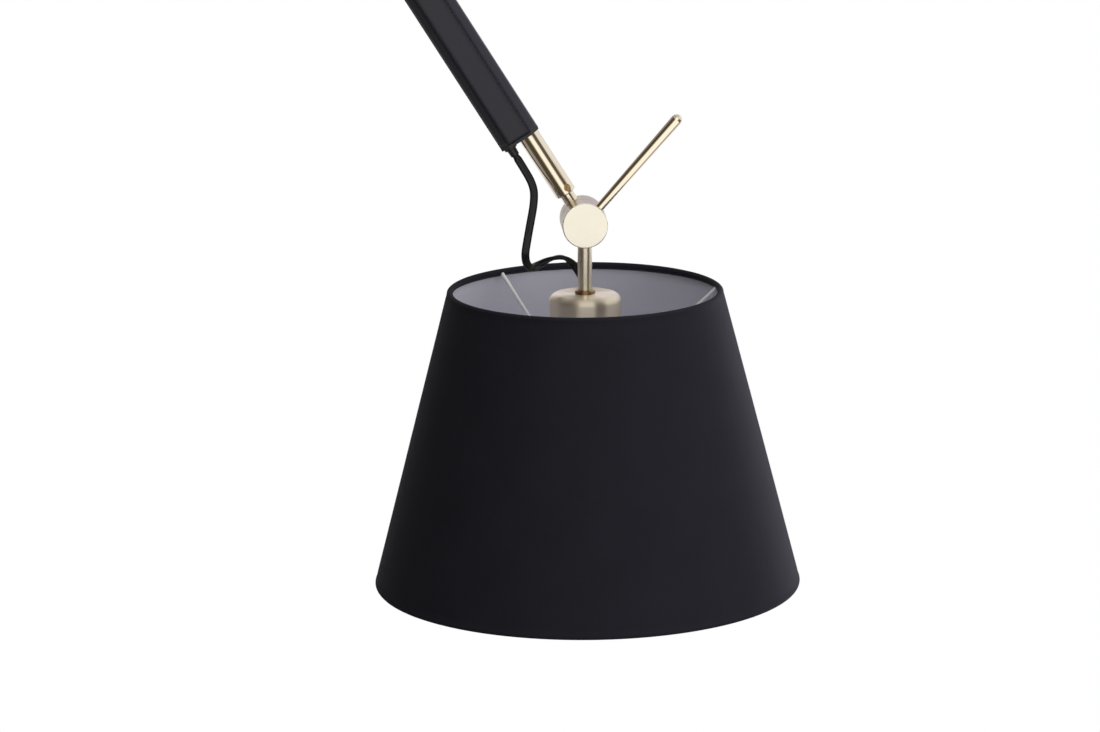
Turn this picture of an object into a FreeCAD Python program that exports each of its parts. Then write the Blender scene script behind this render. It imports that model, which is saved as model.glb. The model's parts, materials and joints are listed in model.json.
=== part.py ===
import FreeCAD, Part
import math
import os

from FreeCAD import Placement, Rotation, Vector

# Pendant lamp with a swing arm. Sizes are in millimetres and degrees.
# The ceiling is the plane z = 0, and the swivel turns about the z axis.

# Fits between round pieces, each a gap on the radius
seat_fit = 0.05
running_fit = 0.05

# How far a cutting tool runs past the face that it enters by
overshoot = 1.0

# Two edges this close are the same edge
same_place = 0.001

# Straight steps that stand for a rounded edge, and sides of a wire or a cable
corner_steps = 3
wire_sides = 8

# Places of the two tilting joints
upper_joint_drop = 85.0
arm_lean = 31.7
profile_length = 416.0

# Hubs: two turned discs, face to face, make a tilting joint
hub_radius = 15.9
hub_depth = 16.5
hub_wall = 6.0
hinge_wall = 3.0
hub_cap_thickness = 2.5
hub_cap_register = 1.5
hub_cap_chamfer = 0.35
friction_washer_thickness = 0.6
friction_washer_margin = 0.5
shoulder_sink = 2.0

# Hollow pivot, its spring and its nut
pivot_radius = 6.0
pivot_bore_radius = 4.0
pivot_flange_radius = 8.5
pivot_flange_thickness = 1.5
disc_spring_radius = 8.6
disc_spring_sheet = 0.6
disc_spring_rise = 0.4
pivot_nut_flats = 15.0
pivot_nut_height = 2.0
pivot_thread_end = 0.2

# Round rods that join the arm to its hubs, each in a sleeve
rod_radius = 5.0
spigot_radius = 4.0
wire_bore_radius = 3.0
rod_neck = 6.3
sleeve_radius = 7.5
sleeve_length = 50.2
sleeve_chamfer = 0.6
rod_plug_depth = 27.6
set_screw_offset = 4.1
set_screw_radius = 2.5
set_screw_turn = 26.0
set_screw_sink = 0.4
set_screw_socket_flats = 2.5
set_screw_socket_depth = 1.2

# Arm: a chamfered extrusion, closed by a plug at each end
profile_width = 30.0
profile_depth = 24.0
profile_chamfer = 6.2
profile_overhang = 1.1
profile_wall = 2.0
plug_flange = 2.0
plug_depth = 24.0
plug_fit = 0.1
plug_screw_radius = 2.0
plug_screw_head_radius = 3.8
plug_screw_head_height = 1.9
plug_screw_length = 8.0
plug_screw_slot = 1.0

# Cable gland in the lower plug
gland_edge_distance = 6.0
gland_length = 8.0
gland_flange_radius = 4.7
gland_flange_thickness = 2.5
gland_neck_radius = 3.4
gland_mouth_radius = 3.1
gland_shank_radius = 2.8
gland_shank_length = 6.0

# Leads inside the lamp, and the cable that hangs free between gland and cup
lead_radius = 2.0
ceiling_lead_run = 8.0
ceiling_lead_rise = 0.5
arm_lead_upper_run = 20.0
arm_lead_lower_run = 60.0
cable_gland_run = 9.0
cable_grommet_run = 6.0

# Lever on the lower joint
lever_lean = 41.6
lever_forward = 2.2
lever_base_radius = 3.0
lever_tip_radius = 3.95
lever_reach = 101.3
lever_thread_radius = 2.5
lever_thread_length = 4.5
lever_sink = 0.5

# Stem and cup under the lower joint
stem_length = 31.2
collar_radius = 7.2
collar_height = 2.3
collar_chamfer = 0.6
cup_radius = 25.5
cup_height = 59.6
cup_wall = 1.5
cup_corner = 5.5
cup_inner_corner = 4.0
cup_nut_flats = 17.0
cup_nut_height = 4.0
grommet_x = 0.8
grommet_y = 17.0
grommet_flange_radius = 4.5
grommet_flange_thickness = 1.0
grommet_neck_radius = 3.0
grommet_length = 4.5

# Lampholder for a bulb with the common 27 mm screw cap
holder_boss_radius = 9.0
holder_boss_height = 8.0
holder_drop = 12.6
holder_radius = 20.0
holder_height = 64.0
holder_chamfer = 1.5
holder_stem_depth = 10.5
shell_bore_radius = 13.35
shell_sheet = 0.5
shell_length = 24.0
shell_recess = 6.0
mouth_radius = 15.5
contact_width = 4.0
contact_sheet = 0.5
contact_length = 9.0
contact_tip = 1.0
contact_rise = 2.5
contact_space_radius = 9.0
contact_space_height = 4.0
socket_lead_depth = 6.0
socket_lead_shift = 4.5
socket_lead_drop = 8.0
socket_lead_tail = 11.0

# Shade: two rings of wire, three spokes, a stiff backing and its fabric
fitter_ring_radius = 29.0
fitter_ring_thickness = 1.5
fitter_hole_clearance = 0.3
clamp_ring_radius = 27.0
clamp_ring_height = 8.0
clamp_ring_flange = 2.0
clamp_ring_grip_radius = 24.5
shade_rise = 62.5
shade_height = 212.4
shade_top_radius = 97.1
shade_bottom_radius = 150.8
hem_radius = 2.2
ring_wire_radius = 1.5
spoke_radius = 1.4
spoke_turn = 5.5
spoke_count = 3
spoke_foot = 27.0
spoke_foot_lift = 0.5
backing_thickness = 0.6
fabric_thickness = 0.5
hem_proud = 0.15
hem_notch_gap = 0.3

# Ceiling plate, bridge and canopy
plate_radius = 52.0
plate_thickness = 3.0
ceiling_screw_circle = 80.0
ceiling_screw_count = 3
ceiling_screw_hole_radius = 2.75
ceiling_screw_turn = 30.0
tab_width = 14.0
tab_height = 14.0
tab_thickness = 2.0
canopy_radius = 55.0
canopy_height = 36.0
canopy_wall = 2.0
canopy_corner = 4.0
canopy_screw_radius = 2.0
canopy_screw_head_radius = 3.5
canopy_screw_head_height = 2.2
canopy_screw_dome_radius = 2.5
canopy_screw_length = 8.0
canopy_screw_drop = 9.0
bridge_half_length = 20.0
bridge_width = 30.0
bridge_sheet = 3.0
bridge_foot = 12.0
inlet_x = 17.0
inlet_y = 29.4
inlet_radius = 6.0
inlet_flange_radius = 8.0
inlet_flange_thickness = 1.5
inlet_bore_radius = 4.0
block_x = -7.0
block_y = 29.0
block_length = 26.0
block_width = 14.0
block_height = 12.0
block_way_count = 3
block_way_radius = 2.2
block_way_depth = 5.0

# Swivel: a hollow stem that turns in a bush
bush_flange_radius = 13.0
bush_flange_thickness = 4.0
bush_flange_chamfer = 1.0
bush_radius = 8.0
bush_nut_flats = 22.0
bush_nut_height = 5.0
bush_rise = 5.5
stop_washer_radius = 8.5
stop_washer_thickness = 1.5
stop_finger_reach = 16.5
stop_finger_width = 4.0
stop_pin_radius = 1.5
stop_pin_circle = 15.0
stop_pin_height = 7.5
wave_spring_sheet = 0.5
wave_spring_height = 1.5
wave_spring_radius = 7.5
swivel_nut_flats = 15.0
swivel_nut_height = 4.0
swivel_thread_end = 2.5
swivel_collar_gap = 0.3

# Sizes that follow from the ones above
hub_spacing = hub_depth + friction_washer_thickness
cavity_radius = hub_radius - hub_wall
shoulder_radius = hub_radius - shoulder_sink
arm_end = hub_radius + rod_neck + sleeve_length
joint_distance = 2 * (arm_end + plug_flange) + profile_length
profile_shift = profile_width / 2 - profile_overhang - sleeve_radius
gland_shift = profile_shift + profile_width / 2 - gland_edge_distance
gland_mouth = arm_end - gland_length
lead_bore_radius = lead_radius + seat_fit
upper_joint = Vector(0, 0, -upper_joint_drop)
collar_top = -hub_radius - stem_length
cup_top = collar_top - collar_height
cup_bottom = cup_top - cup_height
holder_top = cup_top - holder_drop
holder_bottom = holder_top - holder_height
shell_radius = shell_bore_radius + shell_sheet
shell_bottom = holder_bottom + shell_recess
shell_top = shell_bottom + shell_length
contact_floor = shell_top + contact_space_height
shade_top = cup_bottom + shade_rise
shade_bottom = shade_top - shade_height
canopy_floor = -canopy_height + canopy_wall
bridge_top = canopy_floor + bridge_sheet
bush_top = bridge_top + bush_rise

y_axis = Vector(0, 1, 0)
z_axis = Vector(0, 0, 1)
origin = Vector(0, 0, 0)


def direction(lean):
    """Unit vector in the lamp's plane, leaning from +z towards +x."""
    angle = math.radians(lean)
    return Vector(math.sin(angle), 0, math.cos(angle))


def around(radius, turn, height=0.0):
    """Point on a circle about the z axis."""
    angle = math.radians(turn)
    return Vector(radius * math.cos(angle), radius * math.sin(angle), height)


lower_joint = upper_joint - direction(-arm_lean) * joint_distance
shift_to_arm = y_axis * hub_spacing


def face_of(outline):
    """Face in the plane y = 0. (x, z) is reached by a line, (mid_x, mid_z, x, z) by an arc."""
    last = Vector(outline[-1][-2], 0, outline[-1][-1])
    edges = []
    for entry in outline:
        point = Vector(entry[-2], 0, entry[-1])
        if len(entry) == 4:
            middle = Vector(entry[0], 0, entry[1])
            edges.append(Part.Arc(last, middle, point).toShape())
        else:
            edges.append(Part.LineSegment(last, point).toShape())
        last = point
    return Part.Face(Part.Wire(edges))


def turned(outline, base=origin, axis=z_axis):
    """Turned piece: the outline gives (radius, height along the axis from base)."""
    solid = face_of(outline).revolve(origin, z_axis, 360)
    solid.Placement = Placement(base, Rotation(z_axis, axis))
    return solid


def ring(outer, inner, low, high, base=origin, axis=z_axis):
    """Plain ring or sleeve between two heights."""
    return turned([(inner, low), (outer, low), (outer, high), (inner, high)], base, axis)


def bar(radius, start, end):
    """Round bar between two points."""
    return Part.makeCylinder(radius, (end - start).Length, start, end - start)


def block(size_x, size_y, size_z, low_centre):
    """Box that stands on the centre of its lowest face."""
    corner = low_centre - Vector(size_x / 2, size_y / 2, 0)
    return Part.makeBox(size_x, size_y, size_z, corner)


def hexagon_prism(flats, height, low):
    """Six-sided prism about the z axis."""
    corner_radius = flats / math.sqrt(3)
    corners = [around(corner_radius, 60 * i, low) for i in range(7)]
    return Part.Face(Part.makePolygon(corners)).extrude(z_axis * height)


def nut(flats, bore, height, base, axis=z_axis):
    """Six-sided nut with its corners turned off on both faces."""
    corner_radius = flats / math.sqrt(3)
    drop = (corner_radius - flats / 2) * math.tan(math.radians(30))
    envelope = turned([(0, 0), (flats / 2, 0), (corner_radius, drop), (corner_radius, height - drop),
                       (flats / 2, height), (0, height)])
    solid = hexagon_prism(flats, height, 0).common(envelope)
    solid = solid.cut(bar(bore, z_axis * -overshoot, z_axis * (height + overshoot)))
    solid.Placement = Placement(base, Rotation(z_axis, axis))
    return solid


def rounded_corner(corner, inward, outward, radius):
    """Points of the quarter round at a square corner of an outline.

    The outline comes in along inward and leaves along outward, both unit steps in (radius, height).
    """
    points = []
    for i in range(corner_steps + 1):
        turn = math.radians(90 * i / corner_steps)
        back = radius * (1 - math.sin(turn))
        on = radius * (1 - math.cos(turn))
        points.append((corner[0] - inward[0] * back + outward[0] * on,
                       corner[1] - inward[1] * back + outward[1] * on))
    return points


def rounded_rim(solid, radius, height, corner):
    """Solid with its circular edge of that radius and height rounded."""
    def on_rim(edge):
        circle = edge.Curve
        return (isinstance(circle, Part.Circle) and abs(circle.Radius - radius) < same_place
                and abs(circle.Center.z - height) < same_place)
    return solid.makeFillet(corner, [edge for edge in solid.Edges if on_rim(edge)])


def wire_outline(centre, half_width):
    """Regular outline about a (radius, height) centre, with a flat side at half_width all round."""
    corner = half_width / math.cos(math.pi / wire_sides)
    turns = [math.pi / wire_sides * (2 * i + 1) for i in range(wire_sides)]
    return [(centre[0] + corner * math.cos(turn), centre[1] + corner * math.sin(turn)) for turn in turns]


def tube_path(points):
    """Straight runs joined by tangent arcs, with each arc's radius."""
    edges = []
    radii = []
    last = points[0]
    for before, corner, after in zip(points, points[1:], points[2:]):
        inward = (corner - before).normalize()
        outward = (after - corner).normalize()
        turn = inward.getAngle(outward)
        trim = 0.45 * min((corner - before).Length, (after - corner).Length)
        radius = trim / math.tan(turn / 2)
        bisector = (outward - inward).normalize()
        middle = corner + bisector * (radius * (1 / math.cos(turn / 2) - 1))
        start = corner - inward * trim
        end = corner + outward * trim
        edges.append(Part.LineSegment(last, start).toShape())
        edges.append(Part.Arc(start, middle, end).toShape())
        radii.append(radius)
        last = end
    edges.append(Part.LineSegment(last, points[-1]).toShape())
    return Part.Wire(edges), radii


def cable_along(name, points, radius):
    """Cable along the points. Prints its length, bends and volume against section x length."""
    path, radii = tube_path(points)
    section = Part.makePolygon([around(radius, 360 / wire_sides * i) for i in range(wire_sides + 1)])
    section.Placement = Placement(points[0], Rotation(z_axis, points[1] - points[0]))
    solid = path.makePipeShell([section], True, False)
    share = solid.Volume / (Part.Face(section).Area * path.Length)
    rounded = [round(bend, 1) for bend in radii]
    print(f"{name}: length {path.Length:.1f}, volume share {share:.4f}, bend radii {rounded}")
    return solid


def moved(shape, placement):
    copy = shape.copy()
    copy.Placement = placement.multiply(copy.Placement)
    return copy


def hub(base, axis, joint, mates):
    """Cup-shaped half of a tilting joint. base lies on its mating face, axis points to its cap.

    Each mate is (lean, seat radius, sink of the seat, hole radius, depth of the hole, distance in
    front of the hub's middle).
    """
    rim = hub_depth - hub_cap_thickness
    bore = pivot_radius + running_fit
    solid = turned([(bore, 0), (hub_radius, 0), (hub_radius, rim), (cavity_radius, rim),
                    (cavity_radius, hinge_wall), (bore, hinge_wall)], base, axis)
    middle = base + axis * (hub_depth / 2)
    for lean, seat_radius, sink, hole_radius, depth, forward in mates:
        out = direction(lean)
        centre = middle - y_axis * forward
        outside = centre + out * (hub_radius + overshoot)
        solid = solid.cut(bar(seat_radius, centre + out * (hub_radius - sink), outside))
        solid = solid.cut(bar(hole_radius, centre + out * (hub_radius - depth), centre + out * hub_radius))
    return moved(solid, Placement(joint, Rotation()))


def hub_cap(base, axis, joint):
    """Lid that closes a hub, with a chamfered edge and a register in the hub's cavity."""
    low = hub_depth - hub_cap_thickness
    bevel = hub_depth - hub_cap_chamfer
    register = cavity_radius - seat_fit
    outline = [(0, low - hub_cap_register), (register, low - hub_cap_register), (register, low),
               (hub_radius, low), (hub_radius, bevel), (hub_radius - hub_cap_chamfer, hub_depth),
               (0, hub_depth)]
    return moved(turned(outline, base, axis), Placement(joint, Rotation()))


def knuckle(prefix, joint, front_mates, rear_mates):
    """Eight pieces of one tilting joint. The front hub lies in the plane y = 0, the rear hub behind it."""
    front_base = y_axis * (hub_depth / 2)
    rear_base = front_base + y_axis * friction_washer_thickness
    washer_edge = hub_radius - friction_washer_margin
    flange_low = -hinge_wall - pivot_flange_thickness
    spring_low = friction_washer_thickness + hinge_wall
    nut_low = spring_low + disc_spring_sheet + disc_spring_rise
    shank_end = nut_low + pivot_nut_height + pivot_thread_end
    pivot = turned([(pivot_bore_radius, flange_low), (pivot_flange_radius, flange_low),
                    (pivot_flange_radius, -hinge_wall), (pivot_radius, -hinge_wall),
                    (pivot_radius, shank_end), (pivot_bore_radius, shank_end)], front_base, y_axis)
    spring_bore = pivot_radius + seat_fit
    spring = turned([(spring_bore, spring_low + disc_spring_rise), (disc_spring_radius, spring_low),
                     (disc_spring_radius, spring_low + disc_spring_sheet), (spring_bore, nut_low)],
                    front_base, y_axis)
    at_joint = Placement(joint, Rotation())
    pivot_nut = nut(pivot_nut_flats, pivot_radius + seat_fit, pivot_nut_height,
                    front_base + y_axis * nut_low, y_axis)
    washer = ring(washer_edge, pivot_radius + running_fit, 0, friction_washer_thickness, front_base, y_axis)
    return {
        prefix + "_hub_front": hub(front_base, y_axis * -1, joint, front_mates),
        prefix + "_hub_front_cap": hub_cap(front_base, y_axis * -1, joint),
        prefix + "_hub_rear": hub(rear_base, y_axis, joint, rear_mates),
        prefix + "_hub_rear_cap": hub_cap(rear_base, y_axis, joint),
        prefix + "_friction_washer": moved(washer, at_joint),
        prefix + "_pivot": moved(pivot, at_joint),
        prefix + "_disc_spring": moved(spring, at_joint),
        prefix + "_pivot_nut": moved(pivot_nut, at_joint),
    }


def profile_section(inset, shift, height):
    """Chamfered outline of the arm, drawn inwards by inset."""
    half_width = profile_width / 2 - inset
    half_depth = profile_depth / 2 - inset
    chamfer = profile_chamfer - inset * (2 - math.sqrt(2))
    corners = []
    for side_x, side_y in ((-1, -1), (1, -1), (1, 1), (-1, 1)):
        near_x = Vector(side_x * half_width, side_y * (half_depth - chamfer), 0)
        near_y = Vector(side_x * (half_width - chamfer), side_y * half_depth, 0)
        corners += [near_x, near_y] if side_x * side_y > 0 else [near_y, near_x]
    corners.append(corners[0])
    return Part.Face(Part.makePolygon([corner + Vector(shift, 0, height) for corner in corners]))


def plug_screw_place(shift):
    """Point where a plug's screw meets the arm's rear face."""
    return Vector(shift, profile_depth / 2, arm_end + plug_flange + plug_depth / 2)


def plug_screw(shift, growth=0.0):
    """Countersunk screw that holds a plug. growth widens it into the tool that cuts its hole."""
    shank = plug_screw_radius + growth
    head = plug_screw_head_radius + growth
    screw = turned([(0, 0), (head, 0), (shank, plug_screw_head_height), (shank, plug_screw_length + growth),
                    (0, plug_screw_length + growth)], plug_screw_place(shift), y_axis * -1)
    if growth:
        return screw
    slot = block(2 * head, plug_screw_slot, plug_screw_slot, origin)
    slot.Placement = Placement(plug_screw_place(shift), Rotation(z_axis, y_axis * -1))
    return screw.cut(slot)


def end_plug(shift, lead_at=None):
    """Plug with a flush flange, bored for its rod and, in the lower one, for the gland and the lead."""
    low = arm_end + plug_flange
    flange = profile_section(0, shift, arm_end).extrude(z_axis * plug_flange)
    core = profile_section(profile_wall + plug_fit, shift, low).extrude(z_axis * plug_depth)
    solid = flange.fuse(core)
    foot = z_axis * (arm_end - overshoot)
    top = z_axis * (low + plug_depth + overshoot)
    solid = solid.cut(bar(spigot_radius + seat_fit, foot, top))
    if lead_at is not None:
        aside = Vector(lead_at, 0, 0)
        shank_top = z_axis * (arm_end + gland_shank_length)
        solid = solid.cut(bar(gland_shank_radius + seat_fit, aside + foot, aside + shank_top))
        solid = solid.cut(bar(lead_radius + plug_fit, aside + foot, aside + top))
    return solid.removeSplitter().cut(plug_screw(shift, seat_fit))


def rod(bore):
    """Rod with a thin spigot at each end: one screws into the hub, the other into the plug."""
    tip = arm_end + rod_plug_depth
    outline = [(bore, cavity_radius), (spigot_radius, cavity_radius), (spigot_radius, shoulder_radius),
               (rod_radius, shoulder_radius), (rod_radius, arm_end), (spigot_radius, arm_end),
               (spigot_radius, tip), (bore, tip)]
    return turned(outline)


def sleeve():
    """Sleeve over a rod, with a tapped hole for its set screw."""
    low = arm_end - sleeve_length
    inner = rod_radius + seat_fit
    bevel = sleeve_radius - sleeve_chamfer
    solid = turned([(inner, low), (bevel, low), (sleeve_radius, low + sleeve_chamfer),
                    (sleeve_radius, arm_end), (inner, arm_end)])
    centre = z_axis * (low + set_screw_offset)
    out = around(1, set_screw_turn - 90)
    outside = centre + out * (sleeve_radius + overshoot)
    return solid.cut(bar(set_screw_radius + seat_fit, centre + out * rod_radius, outside))


def set_screw():
    """Headless screw with a six-sided socket, sunk in the sleeve and tight on the rod."""
    length = sleeve_radius - set_screw_sink - rod_radius
    solid = Part.makeCylinder(set_screw_radius, length)
    solid = solid.cut(hexagon_prism(set_screw_socket_flats, length, length - set_screw_socket_depth))
    out = around(1, set_screw_turn - 90)
    centre = z_axis * (arm_end - sleeve_length + set_screw_offset)
    solid.Placement = Placement(centre + out * rod_radius, Rotation(z_axis, out))
    return solid


def cable_gland():
    """Gland that the cable leaves by, with a flange against the plug."""
    low = gland_mouth
    flange_low = arm_end - gland_flange_thickness
    top = arm_end + gland_shank_length
    outline = [(lead_bore_radius, low), (gland_mouth_radius, low), (gland_neck_radius, flange_low),
               (gland_flange_radius, flange_low), (gland_flange_radius, arm_end),
               (gland_shank_radius, arm_end), (gland_shank_radius, top), (lead_bore_radius, top)]
    return turned(outline, Vector(-gland_shift, 0, 0))


def arm():
    """Everything between the two joints but the hubs, in a frame whose z axis runs up the arm."""
    low = arm_end + plug_flange
    profile = profile_section(0, -profile_shift, low).extrude(z_axis * profile_length)
    inside = profile_section(profile_wall, -profile_shift, low).extrude(z_axis * profile_length)
    upper_screw = plug_screw(profile_shift)
    turn_over = Placement(z_axis * joint_distance, Rotation(y_axis, 180))
    hole = plug_screw(-profile_shift, seat_fit)
    upper_hole = moved(plug_screw(profile_shift, seat_fit), turn_over)
    profile = profile.cut(inside).cut(hole).cut(upper_hole)
    screws = Part.makeCompound([plug_screw(-profile_shift), moved(upper_screw, turn_over)])
    set_screws = Part.makeCompound([set_screw(), moved(set_screw(), turn_over)])
    pieces = {
        "arm_profile": profile,
        "lower_end_plug": end_plug(-profile_shift, -gland_shift),
        "upper_end_plug": moved(end_plug(profile_shift), turn_over),
        "end_plug_screws": screws,
        "lower_rod": rod(0),
        "upper_rod": moved(rod(wire_bore_radius), turn_over),
        "lower_sleeve": sleeve(),
        "upper_sleeve": moved(sleeve(), turn_over),
        "sleeve_set_screws": set_screws,
        "cable_gland": cable_gland(),
    }
    place = Placement(lower_joint + shift_to_arm, Rotation(y_axis, -arm_lean))
    return {name: moved(shape, place) for name, shape in pieces.items()}


def arm_point(across, along, depth=0.0):
    """Point of the arm: across towards the upper right, along the arm from the lower joint."""
    side = direction(90 - arm_lean)
    return lower_joint + shift_to_arm + side * across + direction(-arm_lean) * along + y_axis * depth


def lever():
    """Tapered lever with a rounded end, screwed into the lower front hub."""
    seat = hub_radius - lever_sink
    thread_end = seat - lever_thread_length
    outline = [(0, thread_end), (lever_thread_radius, thread_end), (lever_thread_radius, seat),
               (lever_base_radius, seat)]
    outline += rounded_corner((lever_tip_radius, lever_reach), (0, 1), (-1, 0), lever_tip_radius)
    return turned(outline, lower_joint - y_axis * lever_forward, direction(lever_lean))


def head_stem():
    """Stem from the lower hub down through the cup, with a collar on the cup's top."""
    tip = holder_top - holder_stem_depth
    bevel = collar_radius - collar_chamfer
    outline = [(0, -cavity_radius), (spigot_radius, -cavity_radius), (spigot_radius, -shoulder_radius),
               (rod_radius, -shoulder_radius), (rod_radius, collar_top), (bevel, collar_top),
               (collar_radius, collar_top - collar_chamfer), (collar_radius, cup_top),
               (rod_radius, cup_top), (rod_radius, tip), (0, tip)]
    return turned(outline)


def socket_cup():
    """Drawn cup with a rounded shoulder, open below, holed for the stem and the grommet."""
    inner = cup_radius - cup_wall
    ceiling = cup_top - cup_wall
    bore = rod_radius + seat_fit
    cup = turned([(bore, cup_top), (cup_radius, cup_top), (cup_radius, cup_bottom), (inner, cup_bottom),
                  (inner, ceiling), (bore, ceiling)])
    cup = rounded_rim(cup, cup_radius, cup_top, cup_corner)
    cup = rounded_rim(cup, inner, ceiling, cup_inner_corner)
    hole = bar(grommet_neck_radius + seat_fit, Vector(grommet_x, grommet_y, ceiling - overshoot),
               Vector(grommet_x, grommet_y, cup_top + overshoot))
    return cup.cut(hole)


def cable_grommet():
    """Grommet in the cup's top, where the cable goes in."""
    low = cup_top + grommet_flange_thickness - grommet_length
    high = cup_top + grommet_flange_thickness
    bevel = grommet_flange_thickness / 2
    outline = [(lead_bore_radius, low), (grommet_neck_radius, low), (grommet_neck_radius, cup_top),
               (grommet_flange_radius, cup_top), (grommet_flange_radius, high - bevel),
               (grommet_flange_radius - bevel, high), (lead_bore_radius, high)]
    return turned(outline, Vector(grommet_x, grommet_y, 0))


def lampholder_body():
    """Insulating body: a boss on the stem, a long skirt, and the space for screw shell and contact."""
    shoulder = holder_top - holder_boss_height
    bevel = holder_radius - holder_chamfer
    inner = shell_radius + seat_fit
    outline = [(0, holder_top), (holder_boss_radius, holder_top), (holder_boss_radius, shoulder),
               (bevel, shoulder), (holder_radius, shoulder - holder_chamfer),
               (holder_radius, holder_bottom), (mouth_radius, holder_bottom),
               (mouth_radius, shell_bottom), (inner, shell_bottom), (inner, shell_top),
               (contact_space_radius, shell_top), (contact_space_radius, contact_floor),
               (0, contact_floor)]
    solid = turned(outline)
    stem_end = z_axis * (holder_top - holder_stem_depth)
    solid = solid.cut(bar(rod_radius + seat_fit, z_axis * holder_top, stem_end))
    entry = Vector(grommet_x, grommet_y - socket_lead_shift, shoulder)
    lead_end = entry - z_axis * socket_lead_depth
    return solid.cut(bar(lead_bore_radius, entry + z_axis * overshoot, lead_end))


def centre_contact():
    """Sprung strip that touches the middle of the bulb's cap."""
    half = contact_length / 2
    under = contact_floor - contact_sheet
    tip = contact_floor - contact_rise
    outline = [(-half, contact_floor), (-half, under), (0, under), (half - contact_tip, tip),
               (half, tip + contact_sheet), (0, contact_floor)]
    strip = face_of(outline).extrude(y_axis * contact_width)
    strip.translate(y_axis * (-contact_width / 2))
    return strip


def clamp_ring():
    """Threaded ring that clamps the shade's ring against the cup."""
    high = cup_bottom - fitter_ring_thickness
    step = high - clamp_ring_flange
    low = high - clamp_ring_height
    inner = holder_radius + seat_fit
    outline = [(inner, high), (clamp_ring_radius, high), (clamp_ring_radius, step),
               (clamp_ring_grip_radius, step), (clamp_ring_grip_radius, low), (inner, low)]
    return turned(outline)


def rim_points():
    """Centres (radius, height) of the upper and lower ring wires."""
    upper = (shade_top_radius - hem_radius, shade_top - hem_radius)
    lower = (shade_bottom_radius - hem_radius, shade_bottom + hem_radius)
    return upper, lower


def spoke_bars(radius):
    """Straight round bars from the ring on the cup up to the middle of the upper ring's wire."""
    upper, _ = rim_points()
    bars = []
    for i in range(spoke_count):
        turn = spoke_turn + 360 / spoke_count * i
        foot = around(spoke_foot, turn, cup_bottom + spoke_foot_lift)
        bars.append(bar(radius, foot, around(upper[0], turn, upper[1])))
    return bars


def shade_spokes(fitter_ring, top_ring):
    """Three wires that end on the ring on the cup and on the upper ring."""
    spokes = [spoke.cut(top_ring).cut(fitter_ring).Solids[0] for spoke in spoke_bars(spoke_radius)]
    return Part.makeCompound(spokes)


def wall_outline(outer_offset, inner_offset, end_gap):
    """Sloping wall between the ring wires, its faces set off from the line of their centres."""
    upper, lower = rim_points()
    slope = Vector(lower[0] - upper[0], 0, lower[1] - upper[1]).normalize()
    outward = Vector(-slope.z, 0, slope.x)
    top = Vector(upper[0], 0, upper[1]) + slope * end_gap
    bottom = Vector(lower[0], 0, lower[1]) - slope * end_gap
    corners = [top + outward * inner_offset, top + outward * outer_offset,
               bottom + outward * outer_offset, bottom + outward * inner_offset]
    return [(corner.x, corner.z) for corner in corners]


def shade():
    """Frame, backing and fabric of the shade, about the z axis of the lower joint."""
    upper, lower = rim_points()
    fitter_hole = holder_radius + fitter_hole_clearance
    fitter_ring = ring(fitter_ring_radius, fitter_hole, cup_bottom - fitter_ring_thickness, cup_bottom)
    top_ring = turned(wire_outline(upper, ring_wire_radius))
    bottom_ring = turned(wire_outline(lower, ring_wire_radius))
    outer = hem_radius - hem_proud
    middle = outer - fabric_thickness
    backing = turned(wall_outline(middle, middle - backing_thickness, hem_radius + fabric_thickness))
    skin = turned(wall_outline(outer, middle, 0))
    for centre, wire in ((upper, top_ring), (lower, bottom_ring)):
        skin = skin.fuse(turned(wire_outline(centre, hem_radius)))
        skin = skin.cut(wire)
    for notch in spoke_bars(spoke_radius + hem_notch_gap):
        skin = skin.cut(notch)
    return {
        "shade_fitter_ring": fitter_ring,
        "shade_clamp_ring": clamp_ring(),
        "shade_top_ring": top_ring,
        "shade_bottom_ring": bottom_ring,
        "shade_spokes": shade_spokes(fitter_ring, top_ring),
        "shade_backing": backing,
        "shade_fabric": skin,
    }


def head():
    """Stem, cup, lampholder and shade, in the lower joint's frame."""
    pieces = {
        "head_stem": head_stem(),
        "socket_cup": socket_cup(),
        "cup_nut": nut(cup_nut_flats, rod_radius + seat_fit, cup_nut_height,
                       z_axis * (cup_top - cup_wall - cup_nut_height)),
        "cable_grommet": cable_grommet(),
        "lampholder_body": lampholder_body(),
        "lampholder_screw_shell": ring(shell_radius, shell_bore_radius, shell_bottom,
                                       shell_bottom + shell_length),
        "lampholder_contact": centre_contact(),
    }
    pieces.update(shade())
    place = Placement(lower_joint, Rotation())
    return {name: moved(shape, place) for name, shape in pieces.items()}


def ceiling_plate():
    """Steel disc with holes for the ceiling screws and the inlet, and tabs for the canopy's screws."""
    below = z_axis * (-plate_thickness - overshoot)
    above = z_axis * overshoot
    solid = Part.makeCylinder(plate_radius, plate_thickness, z_axis * -plate_thickness)
    for i in range(ceiling_screw_count):
        turn = 360 / ceiling_screw_count * i
        hole = around(ceiling_screw_circle / 2, ceiling_screw_turn + turn)
        solid = solid.cut(bar(ceiling_screw_hole_radius, hole + below, hole + above))
    for turn in canopy_screw_turns():
        tab_foot = Vector(tab_middle(), 0, -plate_thickness - tab_height)
        tab = block(tab_thickness, tab_width, tab_height, tab_foot)
        tab = tab.cut(bar(canopy_screw_radius + seat_fit, Vector(0, 0, -canopy_screw_drop),
                          Vector(canopy_radius, 0, -canopy_screw_drop)))
        solid = solid.fuse(moved(tab, Placement(origin, Rotation(z_axis, turn))))
    inlet = Vector(inlet_x, inlet_y, 0)
    return solid.cut(bar(inlet_radius + seat_fit, inlet + below, inlet + above))


def tab_middle():
    """Distance of a canopy tab's middle from the swivel axis."""
    half_width = tab_width / 2
    return math.sqrt(plate_radius ** 2 - half_width ** 2) - tab_thickness / 2


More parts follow.
